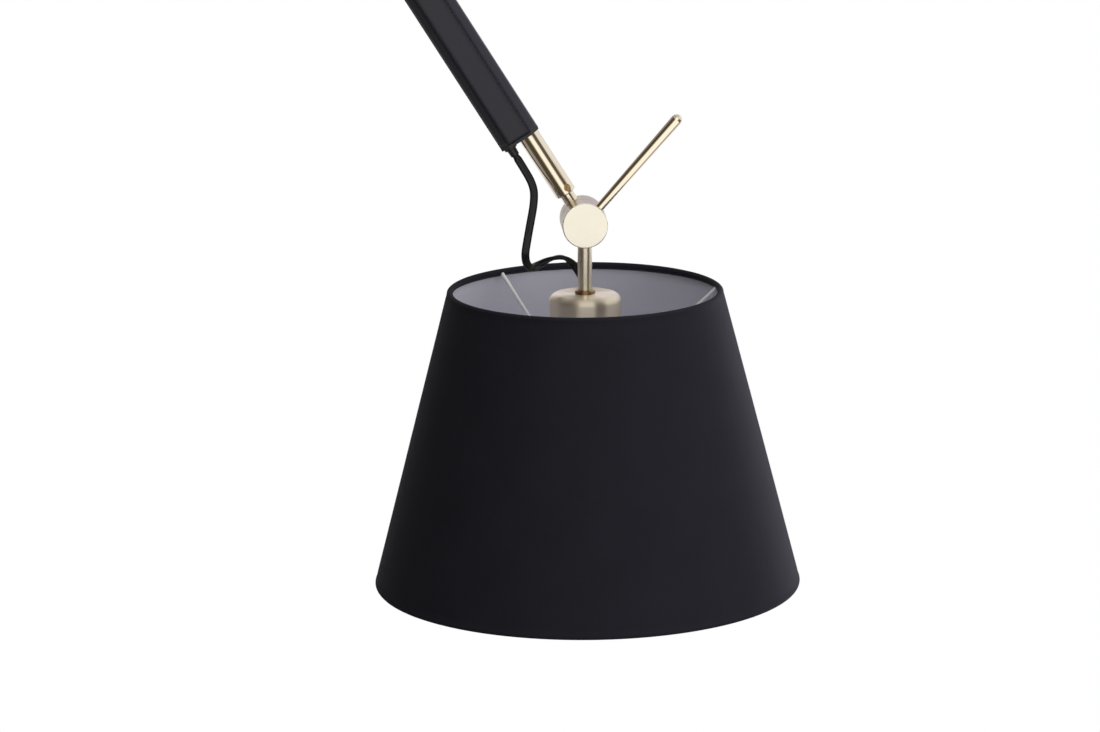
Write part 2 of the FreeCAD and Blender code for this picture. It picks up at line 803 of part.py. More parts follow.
def canopy_screw_turns():
    """Canopy screws lie halfway between the ceiling screws."""
    step = 360 / ceiling_screw_count
    return [ceiling_screw_turn + step * (i + 0.5) for i in range(ceiling_screw_count)]


def mount_bridge():
    """Bent steel strap under the plate, which carries the swivel."""
    inner = bridge_half_length - bridge_sheet
    foot = bridge_half_length + bridge_foot
    high = -plate_thickness
    outline = [(foot, high), (foot, high - bridge_sheet), (bridge_half_length, high - bridge_sheet),
               (bridge_half_length, canopy_floor), (-bridge_half_length, canopy_floor),
               (-bridge_half_length, high - bridge_sheet), (-foot, high - bridge_sheet), (-foot, high),
               (-inner, high), (-inner, bridge_top), (inner, bridge_top), (inner, high)]
    strap = face_of(outline).extrude(y_axis * bridge_width)
    strap.translate(y_axis * (-bridge_width / 2))
    below = z_axis * (canopy_floor - overshoot)
    above = z_axis * (bridge_top + overshoot)
    pin = Vector(-stop_pin_circle, 0, 0)
    strap = strap.cut(bar(bush_radius + seat_fit, below, above))
    return strap.cut(bar(stop_pin_radius + seat_fit, pin + below, pin + above))


def canopy():
    """Drawn cover with a rounded lower edge, clamped under the bridge by the bush."""
    inner = canopy_radius - canopy_wall
    bore = bush_radius + seat_fit
    outline = [(bore, -canopy_height)]
    outline += rounded_corner((canopy_radius, -canopy_height), (1, 0), (0, 1), canopy_corner)
    outline += [(canopy_radius, 0), (inner, 0)]
    outline += rounded_corner((inner, canopy_floor), (0, -1), (-1, 0), canopy_corner - canopy_wall)
    outline.append((bore, canopy_floor))
    solid = turned(outline)
    for turn in canopy_screw_turns():
        inside = around(inner - overshoot, turn, -canopy_screw_drop)
        outside = around(canopy_radius + overshoot, turn, -canopy_screw_drop)
        solid = solid.cut(bar(canopy_screw_radius + seat_fit, inside, outside))
    return solid


def canopy_screws():
    """Slotted screws through the canopy's side into the plate's tabs."""
    screws = []
    for turn in canopy_screw_turns():
        seat = around(canopy_radius, turn, -canopy_screw_drop)
        inward = around(-1, turn)
        head_top = -canopy_screw_head_height
        screw = turned([(0, head_top), (canopy_screw_dome_radius, head_top),
                        (canopy_screw_head_radius, head_top / 2),
                        (canopy_screw_head_radius, 0), (canopy_screw_radius, 0),
                        (canopy_screw_radius, canopy_screw_length), (0, canopy_screw_length)], seat, inward)
        screws.append(screw)
    return Part.makeCompound(screws)


def swivel_bush():
    """Flanged bush that clamps canopy and bridge, and carries the swivel stem."""
    bore = rod_radius + running_fit
    low = -canopy_height - bush_flange_thickness
    edge = bush_flange_radius - bush_flange_chamfer
    outline = [(bore, low), (edge, low), (bush_flange_radius, low + bush_flange_chamfer),
               (bush_flange_radius, -canopy_height),
               (bush_radius, -canopy_height), (bush_radius, bush_top), (bore, bush_top)]
    return turned(outline)


def terminal_block():
    """Insulating block with screw ways, under the plate beside the bridge."""
    base = Vector(block_x, block_y, -plate_thickness - block_height)
    solid = block(block_length, block_width, block_height, base)
    pitch = block_length / block_way_count
    for i in range(block_way_count):
        x = block_x - block_length / 2 + pitch * (i + 0.5)
        way = Vector(x, block_y, base.z)
        solid = solid.cut(bar(block_way_radius, way - z_axis, way + z_axis * block_way_depth))
    return solid


def inlet_grommet():
    """Grommet in the plate, where the house's wiring comes in."""
    bore = inlet_bore_radius
    under = -plate_thickness
    low = under - inlet_flange_thickness
    outline = [(bore, low), (inlet_flange_radius, low), (inlet_flange_radius, under),
               (inlet_radius, under), (inlet_radius, 0), (bore, 0)]
    return turned(outline, Vector(inlet_x, inlet_y, 0))


def ceiling():
    """Everything that stays still."""
    pin_foot = Vector(-stop_pin_circle, 0, canopy_floor)
    pin_top = pin_foot + z_axis * (bridge_sheet + stop_pin_height)
    return {
        "ceiling_plate": ceiling_plate(),
        "mount_bridge": mount_bridge(),
        "canopy": canopy(),
        "canopy_screws": canopy_screws(),
        "swivel_bush": swivel_bush(),
        "swivel_bush_nut": nut(bush_nut_flats, bush_radius + seat_fit, bush_nut_height,
                               z_axis * bridge_top),
        "swivel_stop_pin": bar(stop_pin_radius, pin_foot, pin_top),
        "terminal_block": terminal_block(),
        "inlet_grommet": inlet_grommet(),
    }


def swivel_heights():
    """Heights of the stack on the bush: stop washer, spring, nut and the stem's top."""
    washer = bush_top
    spring = washer + stop_washer_thickness
    nut_low = spring + wave_spring_height
    top = nut_low + swivel_nut_height + swivel_thread_end
    return washer, spring, nut_low, top


def swivel_stem():
    """Hollow stem from the bush down to the upper hub, with a collar under the bush."""
    hub_at = -upper_joint_drop
    top = swivel_heights()[3]
    collar_high = -canopy_height - bush_flange_thickness - swivel_collar_gap
    collar_low = collar_high - collar_height
    bevel = collar_radius - collar_chamfer
    outline = [(wire_bore_radius, hub_at + cavity_radius), (spigot_radius, hub_at + cavity_radius),
               (spigot_radius, hub_at + shoulder_radius), (rod_radius, hub_at + shoulder_radius),
               (rod_radius, collar_low), (bevel, collar_low), (collar_radius, collar_low + collar_chamfer),
               (collar_radius, collar_high), (rod_radius, collar_high), (rod_radius, top),
               (wire_bore_radius, top)]
    return turned(outline)


def swivel_stop_washer():
    """Washer fixed on the stem, with a finger that meets the stop pin near the end of a turn."""
    low = swivel_heights()[0]
    solid = ring(stop_washer_radius, rod_radius + seat_fit, low, low + stop_washer_thickness)
    start = (rod_radius + stop_washer_radius) / 2
    finger = block(stop_finger_reach - start, stop_finger_width, stop_washer_thickness,
                   Vector((stop_finger_reach + start) / 2, 0, low))
    return solid.fuse(finger).removeSplitter()


def swivel_spring():
    """Conical spring washer that holds the swivel by friction."""
    low = swivel_heights()[1]
    inner = rod_radius + seat_fit
    rise = wave_spring_height - wave_spring_sheet
    outline = [(inner, low + rise), (wave_spring_radius, low),
               (wave_spring_radius, low + wave_spring_sheet), (inner, low + wave_spring_height)]
    return turned(outline)


def swivel():
    """What turns on the swivel, apart from the upper hub's pieces."""
    return {
        "swivel_stem": swivel_stem(),
        "swivel_stop_washer": swivel_stop_washer(),
        "swivel_spring": swivel_spring(),
        "swivel_nut": nut(swivel_nut_flats, rod_radius + seat_fit, swivel_nut_height,
                          z_axis * swivel_heights()[2]),
    }


def leads():
    """Wiring inside the lamp. Each lead ends where a joint's axis passes, so that the joint can turn."""
    stem_top = swivel_heights()[3]
    block_face = block_y - block_width / 2
    block_middle = -plate_thickness - block_height / 2
    ceiling_route = [Vector(block_x, block_face, block_middle),
                     Vector(block_x, block_face - ceiling_lead_run, block_middle),
                     Vector(0, 0, block_middle + ceiling_lead_rise), Vector(0, 0, stem_top)]
    washer_middle = y_axis * (hub_spacing / 2)
    swivel_route = [Vector(0, 0, stem_top), upper_joint, upper_joint + washer_middle]
    rod_end = joint_distance - arm_end - rod_plug_depth
    plug_inner = arm_end + plug_flange + plug_depth
    arm_route = [upper_joint + washer_middle, upper_joint + shift_to_arm,
                 arm_point(0, rod_end - arm_lead_upper_run),
                 arm_point(-gland_shift, plug_inner + arm_lead_lower_run),
                 arm_point(-gland_shift, gland_mouth)]
    grommet_top = cup_top + grommet_flange_thickness
    into_holder = holder_top - holder_boss_height - socket_lead_depth
    entry_y = grommet_y - socket_lead_shift
    socket_route = [Vector(grommet_x, grommet_y, grommet_top),
                    Vector(grommet_x, grommet_y, grommet_top - socket_lead_drop),
                    Vector(grommet_x, entry_y, into_holder + socket_lead_tail),
                    Vector(grommet_x, entry_y, into_holder)]
    routes = {
        "ceiling_lead": ceiling_route,
        "swivel_lead": swivel_route,
        "arm_lead": arm_route,
        "socket_lead": [point + lower_joint for point in socket_route],
    }
    return {name: cable_along(name, route, lead_radius) for name, route in routes.items()}


def lamp_cable():
    """Cable that hangs free from the gland to the cup. Its points are measured from the lower joint."""
    mouth = arm_point(-gland_shift, gland_mouth) - lower_joint
    below_mouth = mouth - direction(-arm_lean) * cable_gland_run
    grommet = Vector(grommet_x, grommet_y, cup_top + grommet_flange_thickness)
    route = [mouth, below_mouth, Vector(-34.5, 13.5, 25.5), Vector(-34.5, 8.0, 15.0),
             Vector(-38.0, 2.5, -0.5), Vector(-40.0, -2.0, -9.0), Vector(-42.5, -3.5, -22.5),
             Vector(-39.0, 2.0, -31.5), Vector(-32.0, 11.0, -31.0), Vector(-23.0, 16.5, -27.5),
             Vector(-13.5, 18.5, -26.5), Vector(-2.5, 18.0, -32.5),
             grommet + z_axis * cable_grommet_run, grommet]
    return {"lamp_cable": cable_along("lamp_cable", [point + lower_joint for point in route], lead_radius)}


def joints():
    """The two tilting joints, alike but for what is screwed into them."""
    rod_mate = (rod_radius + seat_fit, shoulder_sink, spigot_radius + seat_fit, hub_wall + overshoot, 0)
    lever_mate = (lever_base_radius + seat_fit, lever_sink, lever_thread_radius + seat_fit,
                  lever_sink + lever_thread_length, lever_forward)
    stem_up = (0,) + rod_mate
    stem_down = (180,) + rod_mate
    rod_up = (-arm_lean,) + rod_mate
    rod_down = (180 - arm_lean,) + rod_mate
    pieces = knuckle("lift", upper_joint, [stem_up], [rod_down])
    pieces.update(knuckle("tilt", lower_joint, [stem_down, (lever_lean,) + lever_mate], [rod_up]))
    return pieces


def main():
    os.makedirs("parts", exist_ok=True)
    pieces = {"tilt_lever": lever()}
    for section in (ceiling, swivel, joints, arm, head, leads, lamp_cable):
        pieces.update(section())
    for name, shape in pieces.items():
        shape.exportStep(os.path.join("parts", name + ".step"))
    print(len(pieces), "nodes")


main()
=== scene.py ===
import json
import math

import bpy
from mathutils import Matrix, Vector, noise


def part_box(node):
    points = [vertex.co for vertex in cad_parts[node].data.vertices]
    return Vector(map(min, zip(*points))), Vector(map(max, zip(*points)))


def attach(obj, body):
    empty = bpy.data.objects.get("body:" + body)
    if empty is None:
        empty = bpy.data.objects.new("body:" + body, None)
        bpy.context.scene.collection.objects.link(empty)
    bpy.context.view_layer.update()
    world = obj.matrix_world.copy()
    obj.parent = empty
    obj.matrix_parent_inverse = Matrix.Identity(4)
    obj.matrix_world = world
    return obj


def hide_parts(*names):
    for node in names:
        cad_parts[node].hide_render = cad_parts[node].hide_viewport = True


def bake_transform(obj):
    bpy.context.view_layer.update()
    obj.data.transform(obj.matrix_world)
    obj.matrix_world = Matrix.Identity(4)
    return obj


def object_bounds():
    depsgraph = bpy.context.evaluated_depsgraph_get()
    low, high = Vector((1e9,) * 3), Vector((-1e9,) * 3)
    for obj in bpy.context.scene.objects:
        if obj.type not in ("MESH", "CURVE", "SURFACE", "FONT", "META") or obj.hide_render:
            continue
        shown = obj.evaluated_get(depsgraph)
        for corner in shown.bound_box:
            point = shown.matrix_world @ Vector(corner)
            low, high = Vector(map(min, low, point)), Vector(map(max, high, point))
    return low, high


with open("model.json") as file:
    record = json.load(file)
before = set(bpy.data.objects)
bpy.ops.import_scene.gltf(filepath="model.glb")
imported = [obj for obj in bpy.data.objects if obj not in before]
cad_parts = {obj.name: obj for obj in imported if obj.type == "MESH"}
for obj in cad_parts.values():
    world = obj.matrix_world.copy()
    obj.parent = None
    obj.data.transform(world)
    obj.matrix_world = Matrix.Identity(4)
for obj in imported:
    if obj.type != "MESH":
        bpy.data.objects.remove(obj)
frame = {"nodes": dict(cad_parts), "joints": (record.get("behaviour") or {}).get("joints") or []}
cad_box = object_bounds()

# Places that the frame gives. All lengths are in metres.
joints = {joint["name"]: joint for joint in frame["joints"]}
lower_joint = Vector(joints["head_tilt"]["pos_m"])
upper_joint = Vector(joints["arm_lift"]["pos_m"])
arm_up = (upper_joint - lower_joint).normalized()
arm_lean = math.atan2(-arm_up.x, arm_up.z)

# Photograph's camera, placed from the lower joint
photo_width = 1100
focal_pixels = 4470
sensor_mm = 36
camera_reach = 50
camera_place = lower_joint + Vector((-0.20533, -3.06081, 0.59621))
camera_yaw = math.radians(-3.3685)
camera_pitch = math.radians(-12.8147)
camera_roll = math.radians(-0.5937)

# Free cable: a flat flex of two wires side by side
cable_width = 0.0057
cable_thickness = 0.0033
cable_sides = 28
cable_resolution = 14
cable_taper = 0.004

# Its section: a waist between the two wires, and powers below 1 that square its outline
waist_depth = 0.24
waist_width = 0.28
broad_power = 0.8
thin_power = 0.7

# Its route from the gland's mouth to the grommet, measured from the lower joint
gland_mouth = Vector((-0.04694, 0.0171, 0.04670))
mouth_run = 0.009
route_points = [(-0.0345, 0.0135, 0.0255), (-0.0345, 0.0080, 0.0150), (-0.0380, 0.0025, -0.0005),
                (-0.0400, -0.0020, -0.0090), (-0.0425, -0.0035, -0.0225), (-0.0390, 0.0020, -0.0315),
                (-0.0320, 0.0110, -0.0310), (-0.0230, 0.0165, -0.0275), (-0.0135, 0.0185, -0.0265),
                (-0.0065, 0.0180, -0.0325), (-0.0020, 0.0175, -0.0395)]
grommet_run = 0.0035
grommet_top = Vector((0.0008, 0.0170, -0.0484))

# Shares of its length where its broad side turns up and then back, and how much of the turn goes back
turn_up_from = 0.64
turn_up_to = 0.80
turn_back_from = 0.80
turn_back_to = 0.90
turn_back_part = 0.9

# Shade: offsets are measured outwards from the line between the two ring wires
hem_radius = 0.0022
hem_tuck = 0.0030
tuck_offset = 0.00005
hem_steps = 22
roll_outside = -30
roll_inside = 232
cloth_thickness = 0.0005
cloth_offset = 0.0018
cloth_overlap = 0.012
overlap_step = 0.0004
overlap_fade = 0.0008
overlap_rows = 40
lining_outer = 0.0015
lining_inner = 0.0009
lining_inset = 0.0027
wall_inset = 0.0052
wall_steps = 26
lining_steps = 24
shade_segments = 360
weave_threads = 760
weave_pitch = 0.00042

# Waves in the stretched cloth: (depth, how fine round it, how fine up it)
cloth_waves = [(0.00012, 2.2, 14), (0.00005, 26, 60)]

# Floor, far enough down for the lamp to be seen from below
floor_drop = 4.4
floor_side = 20.0
floor_glow = 0.85
floor_tones = (0.80, 0.84)

# Radii that soften edges in the shading, and how finely they do
arm_edge = 0.0048
hub_edge = 0.0009
turned_edge = 0.0004
edge_samples = 8

# Colours of the metals, the arm, the cable, the cloth and its lining
golden_brass = (0.93, 0.84, 0.66)
pale_brass = (0.97, 0.91, 0.77)
# Darker copy of the same brass as the caps, for the hubs' sides: painted shade
hub_side_shade_brass = (0.62, 0.54, 0.45)
raw_brass = (0.72, 0.52, 0.26)
arm_black = (0.0075, 0.0070, 0.0170)
flex_black = (0.004, 0.004, 0.005)
cloth_black = (0.0205, 0.0195, 0.0255)
lining_white = (0.72, 0.71, 0.80)

# Painted shade at the foot of the stem, where it meets the cup: its brown, its height and how softly it
# fades
foot_shade_brown = (0.30, 0.19, 0.09)
foot_shade_height = 0.0023
foot_shade_fade = 0.0005

# Studio that metal mirrors: bands of (degrees from the front towards +x, colour) at one height of view.
# They lean by so many degrees for each unit of height, between a lowest and a highest one.
dark = (0.072, 0.054, 0.038)
dim = (0.30, 0.26, 0.21)
shaded = (0.28, 0.26, 0.25)
front = (1.14, 1.14, 1.12)
notch = (0.11, 0.085, 0.065)
far = (0.88, 0.87, 0.89)
behind = (0.75, 0.72, 0.80)
surroundings = [(-180, behind), (-155, far), (-130, shaded), (-88, shaded), (-74, dark), (-26, dark),
                (-14, dim), (-1, front), (42, front), (53, notch), (79, notch), (93, far), (140, far),
                (180, behind)]
band_height = -0.22
band_lean = 70
lean_lowest = -0.50
lean_highest = 0.03

# What takes over from the bands above and below them, and the heights between which it does
overhead = (0.55, 0.54, 0.53)
overhead_from = 0.60
overhead_to = 0.95
underneath = (0.44, 0.44, 0.44)
underneath_from = -0.60
underneath_to = -0.85

# Soft light on matt surfaces: (degrees from the front towards +x, level)
soft_light = [(-180, 0.10), (-130, 0.10), (-100, 0.03), (-60, 0.05), (0, 0.50), (70, 0.66), (120, 0.90),
              (150, 0.20), (180, 0.10)]

# Soft lamps: (name, place and target from the lower joint, width, height, watts)
lamps = [("key", (1.5, -2.0, 0.4), (0, 0, 0), 1.2, 1.2, 10),
         ("side", (1.9, 1.9, -0.55), (0, 0, -0.15), 0.8, 0.8, 95),
         ("top", (0.3, -0.3, 2.2), (0, 0, 0), 1.0, 1.0, 14)]

white = (1.0, 1.0, 1.0, 1.0)

# Places of the inputs and the output of a node that mixes two colours
mix_inputs = (0, 6, 7)
mix_output = 2

# Pieces that wear each material
worn = {
    "brass_hub_lower": ["tilt_hub_front", "tilt_hub_rear"],
    "brass_hub_upper": ["lift_hub_front", "lift_hub_rear"],
    "brass_cap_lower": ["tilt_hub_front_cap", "tilt_hub_rear_cap"],
    "brass_cap_upper": ["lift_hub_front_cap", "lift_hub_rear_cap"],
    "brass_raw": ["sleeve_set_screws", "tilt_pivot", "lift_pivot", "tilt_pivot_nut", "lift_pivot_nut",
                  "cup_nut", "swivel_nut", "swivel_bush_nut", "lampholder_screw_shell",
                  "lampholder_contact"],
    "brass_polished": ["lower_rod", "upper_rod", "lower_sleeve", "upper_sleeve", "tilt_lever",
                       "canopy_screws"],
    "brass_post": ["swivel_stem", "swivel_bush"],
    "brass_stem": ["head_stem"],
    "brass_cup": ["socket_cup"],
    "arm_black": ["arm_profile"],
    "steel_plated": ["ceiling_plate", "mount_bridge", "swivel_stop_pin", "swivel_stop_washer",
                     "swivel_spring", "tilt_disc_spring", "lift_disc_spring", "end_plug_screws",
                     "shade_fitter_ring"],
    "lead_black": ["ceiling_lead", "swivel_lead", "arm_lead", "socket_lead"],
    "plug_black": ["lower_end_plug", "upper_end_plug"],
    "canopy_black": ["canopy"],
    "plastic_black": ["cable_gland", "cable_grommet", "inlet_grommet", "shade_clamp_ring",
                      "lampholder_body"],
    "plastic_white": ["terminal_block"],
    "washer_white": ["tilt_friction_washer", "lift_friction_washer"],
    "wire_white": ["shade_spokes", "shade_top_ring", "shade_bottom_ring"],
}


def grey(level):
    """Neutral colour of one level."""
    return (level, level, level, 1.0)


def opaque(colour, gain=1.0):
    """Colour with its alpha, brightened or darkened by gain."""
    return tuple(channel * gain for channel in colour) + (1.0,)


# Material graphs

class Graph:
    """Nodes of a material or a world, with short ways to add and join them."""

    def __init__(self, owner, shader):
        owner.use_nodes = True
        self.tree = owner.node_tree
        self.shader = self.tree.nodes[shader]

    def add(self, kind, sockets=None, **settings):
        """New node. sockets gives each input a value, or an output to be joined to it."""
        made = self.tree.nodes.new(kind)
        for name, value in settings.items():
            setattr(made, name, value)
        self.fill(made, sockets or {})
        return made

    def fill(self, made, sockets):
        """Sets each input to its value, or joins it to its output."""
        for name, value in sockets.items():
            if isinstance(value, bpy.types.NodeSocket):
                self.tree.links.new(value, made.inputs[name])
            else:
                made.inputs[name].default_value = value

    def shade(self, **sockets):
        """Fills the shader's sockets, with spaces in their names written as low lines."""
        self.fill(self.shader, {name.replace("_", " "): value for name, value in sockets.items()})

    def between(self, share, low, high, from_low=0.0, from_high=1.0):
        """Number that runs from low to high as share runs over its range."""
        made = self.add("ShaderNodeMapRange", {"Value": share, "From Min": from_low, "From Max": from_high,
                                               "To Min": low, "To Max": high})
        return made.outputs["Result"]

    def mix(self, share, first, second):
        """Colour between first and second."""
        made = self.add("ShaderNodeMix", data_type="RGBA")
        self.fill(made, dict(zip(mix_inputs, (share, first, second))))
        return made.outputs[mix_output]

    def maths(self, operation, first, second=0.0):
        """Arithmetic on two numbers."""
        return self.add("ShaderNodeMath", {0: first, 1: second}, operation=operation).outputs[0]

    def bump(self, height, depth, over=None):
        """Normal that a height of 0 to 1, depth metres deep, gives the surface or the normal over."""
        made = self.add("ShaderNodeBump", {"Height": height, "Distance": depth, "Strength": 1.0})
        if over:
            self.fill(made, {"Normal": over})
        return made.outputs["Normal"]


class Finish(Graph):
    """A material, with its surface's place in the lamp's frame."""

    def __init__(self, name):
        self.material = bpy.data.materials.new(name)
        super().__init__(self.material, "Principled BSDF")
        self.place = self.add("ShaderNodeTexCoord").outputs["Object"]

    def noise(self, scale, detail=2.0, stretch=(1, 1, 1), place=None):
        """Noise from 0 to 1, scale times a metre, finer along the axes that stretch enlarges."""
        mapped = self.add("ShaderNodeMapping", {"Vector": place or self.place, "Scale": stretch})
        made = self.add("ShaderNodeTexNoise",
                        {"Vector": mapped.outputs[0], "Scale": scale, "Detail": detail})
        return made.outputs["Fac"]

    def soft_edges(self, radius):
        """Normal that rounds the piece's edges to a radius."""
        return self.add("ShaderNodeBevel", {"Radius": radius}, samples=edge_samples).outputs[0]


def radius_about(graph, centre, axes):
    """Distance from centre, measured along the axes that are 1 and not along the one that is 0."""
    shifted = graph.add("ShaderNodeVectorMath", {0: graph.place, 1: centre}, operation="SUBTRACT")
    kept = graph.add("ShaderNodeVectorMath", {0: shifted.outputs[0], 1: axes}, operation="MULTIPLY")
    return graph.add("ShaderNodeVectorMath", {0: kept.outputs[0]}, operation="LENGTH").outputs["Value"]


def turned_brass(name, centre, axes, colour, roughness):
    """Satin brass with softened edges and the fine rings that turning leaves across two axes."""
    graph = Finish(name)
    radius = radius_about(graph, centre, axes)
    rings = graph.add("ShaderNodeTexNoise", {"W": radius, "Scale": 9000.0, "Detail": 3.0},
                      noise_dimensions="1D")
    cloud = graph.noise(scale=60.0, detail=3.0)
    shade = graph.mix(cloud, opaque(colour, gain=0.93), opaque(colour))
    rough = graph.between(rings.outputs["Fac"], roughness - 0.06, roughness + 0.06)
    graph.shade(Base_Color=shade, Metallic=1.0, Roughness=rough,
                Normal=graph.bump(rings.outputs["Fac"], depth=0.000004, over=graph.soft_edges(hub_edge)))
    return graph.material


def polished_brass(name, colour, roughness, stretch=0.0, painted_shade_band=None):
    """Polished brass under a clear lacquer: soft clouds of tone and faint smears.

    A stretch draws its highlights out along the upright axis, as on a piece that was turned about it.
    An optional (low, high) band of heights is painted brown, as shade at the foot of the stem where it
    meets the cup.
    """
    graph = Finish(name)
    cloud = graph.noise(scale=90.0, detail=3.0)
    smear = graph.noise(scale=700.0, detail=4.0)
    tone = graph.mix(cloud, opaque(colour, gain=0.94), opaque(colour))
    # Painted shade: a brown band darkens the foot of the stem where it meets the cup
    if painted_shade_band:
        height = graph.add("ShaderNodeSeparateXYZ", {0: graph.place}).outputs["Z"]
        low, high = painted_shade_band
        above = graph.between(height, 0.0, 1.0, from_low=low - foot_shade_fade, from_high=low)
        below = graph.between(height, 1.0, 0.0, from_low=high, from_high=high + foot_shade_fade)
        tone = graph.mix(graph.maths("MULTIPLY", above, below), tone, opaque(foot_shade_brown))
    rough = graph.between(smear, roughness - 0.02, roughness + 0.03, from_low=0.3, from_high=0.7)
    graph.shade(Base_Color=tone, Metallic=1.0, Roughness=rough,
                Normal=graph.bump(smear, depth=0.0000004, over=graph.soft_edges(turned_edge)))
    if stretch:
        tangent = graph.add("ShaderNodeTangent", direction_type="RADIAL", axis="Z")
        graph.shade(Anisotropic=stretch, Anisotropic_Rotation=0.25, Tangent=tangent.outputs[0])
    return graph.material


def extruded_black(name, colour, roughness):
    """Satin black extrusion with softened edges, faint lines along its length and a fine grain."""
    graph = Finish(name)
    turned = graph.add("ShaderNodeMapping", {"Vector": graph.place, "Rotation": (0, arm_lean, 0)})
    lines = graph.noise(scale=1.0, detail=3.0, stretch=(2500, 2500, 6), place=turned.outputs[0])
    grain = graph.noise(scale=5200.0, detail=2.0)
    tone = graph.mix(lines, opaque(colour, gain=0.8), opaque(colour, gain=1.15))
    height = graph.maths("ADD", graph.maths("MULTIPLY", lines, 0.4), graph.maths("MULTIPLY", grain, 0.6))
    graph.shade(Base_Color=tone, Roughness=graph.between(grain, roughness - 0.04, roughness + 0.04),
                Normal=graph.bump(height, depth=0.000008, over=graph.soft_edges(arm_edge)),
                Specular_IOR_Level=0.45)
    return graph.material


def painted(name, colour, roughness, grain_scale, grain_depth):
    """Paint or moulded plastic: a fine grain, and tone that varies a little."""
    graph = Finish(name)
    grain = graph.noise(scale=grain_scale, detail=3.0)
    cloud = graph.noise(scale=35.0, detail=2.0)
    tone = graph.mix(cloud, opaque(colour, gain=0.86), opaque(colour))
    graph.shade(Base_Color=tone, Roughness=graph.between(grain, roughness - 0.06, roughness + 0.06),
                Normal=graph.bump(grain, depth=grain_depth))
    return graph.material


def plated_steel(name):
    """Zinc-plated steel, with the plating's small cloudy grains."""
    graph = Finish(name)
    cells = graph.add("ShaderNodeTexVoronoi", {"Vector": graph.place, "Scale": 520.0})
    fine = graph.noise(scale=2600.0, detail=3.0)
    tone = graph.mix(cells.outputs["Distance"], (0.42, 0.43, 0.45, 1.0), (0.60, 0.61, 0.63, 1.0))
    graph.shade(Base_Color=tone, Metallic=1.0, Roughness=graph.between(fine, 0.26, 0.42),
                Normal=graph.bump(fine, depth=0.000004))
    return graph.material


def cloth(name, colour):
    """Fine plain weave on a cone: threads run round it and up its slope."""
    graph = Finish(name)
    weave = weave_height(graph)
    slub = graph.noise(scale=1.0, detail=3.0, stretch=(140, 140, 1100))
    cloud = graph.noise(scale=28.0, detail=4.0)
    tone = graph.mix(cloud, opaque(colour, gain=0.82), opaque(colour, gain=1.18))
    tone = graph.mix(graph.between(weave, 0.0, 0.35), tone, opaque(colour, gain=1.9))
    height = graph.maths("ADD", graph.maths("MULTIPLY", weave, 0.75), graph.maths("MULTIPLY", slub, 0.25))
    graph.shade(Base_Color=tone, Roughness=0.88, Sheen_Weight=0.08, Sheen_Roughness=0.35,
                Sheen_Tint=(0.75, 0.75, 0.85, 1.0), Specular_IOR_Level=0.05,
                Normal=graph.bump(height, depth=0.00011))
    return graph.material


def weave_height(graph):
    """Height of a plain weave about the shade's axis: bumps that alternate round it and up it."""
    shifted = graph.add("ShaderNodeVectorMath", {0: graph.place, 1: lower_joint}, operation="SUBTRACT")
    split = graph.add("ShaderNodeSeparateXYZ", {0: shifted.outputs[0]})
    turn = graph.maths("ARCTAN2", split.outputs["Y"], split.outputs["X"])
    warp = graph.maths("SINE", graph.maths("MULTIPLY", turn, weave_threads))
    weft = graph.maths("SINE", graph.maths("MULTIPLY", split.outputs["Z"], math.pi / weave_pitch))
    return graph.between(graph.maths("MULTIPLY", warp, weft), 0.0, 1.0, from_low=-1.0, from_high=1.0)


def lining_film(name, colour):
    """Matt white film inside the shade, with a faint fibre pattern and a soft sheen."""
    graph = Finish(name)
    fibre = graph.noise(scale=420.0, detail=5.0, stretch=(1, 1, 0.35))
    cloud = graph.noise(scale=16.0, detail=2.0)
    tone = graph.mix(cloud, opaque(colour, gain=0.96), opaque(colour))
    graph.shade(Base_Color=tone, Roughness=graph.between(fibre, 0.5, 0.62), Specular_IOR_Level=0.35,
                Normal=graph.bump(fibre, depth=0.00003))
    return graph.material


def sheath(name, colour):
    """Soft satin sheath of a flex, with the faint draw lines of its making."""
    graph = Finish(name)
    grain = graph.noise(scale=1900.0, detail=3.0)
    cloud = graph.noise(scale=150.0, detail=2.0)
    tone = graph.mix(cloud, opaque(colour), opaque(colour, gain=1.6))
    graph.shade(Base_Color=tone, Roughness=graph.between(grain, 0.22, 0.32), Specular_IOR_Level=0.3,
                Normal=graph.bump(grain, depth=0.00001))
    return graph.material


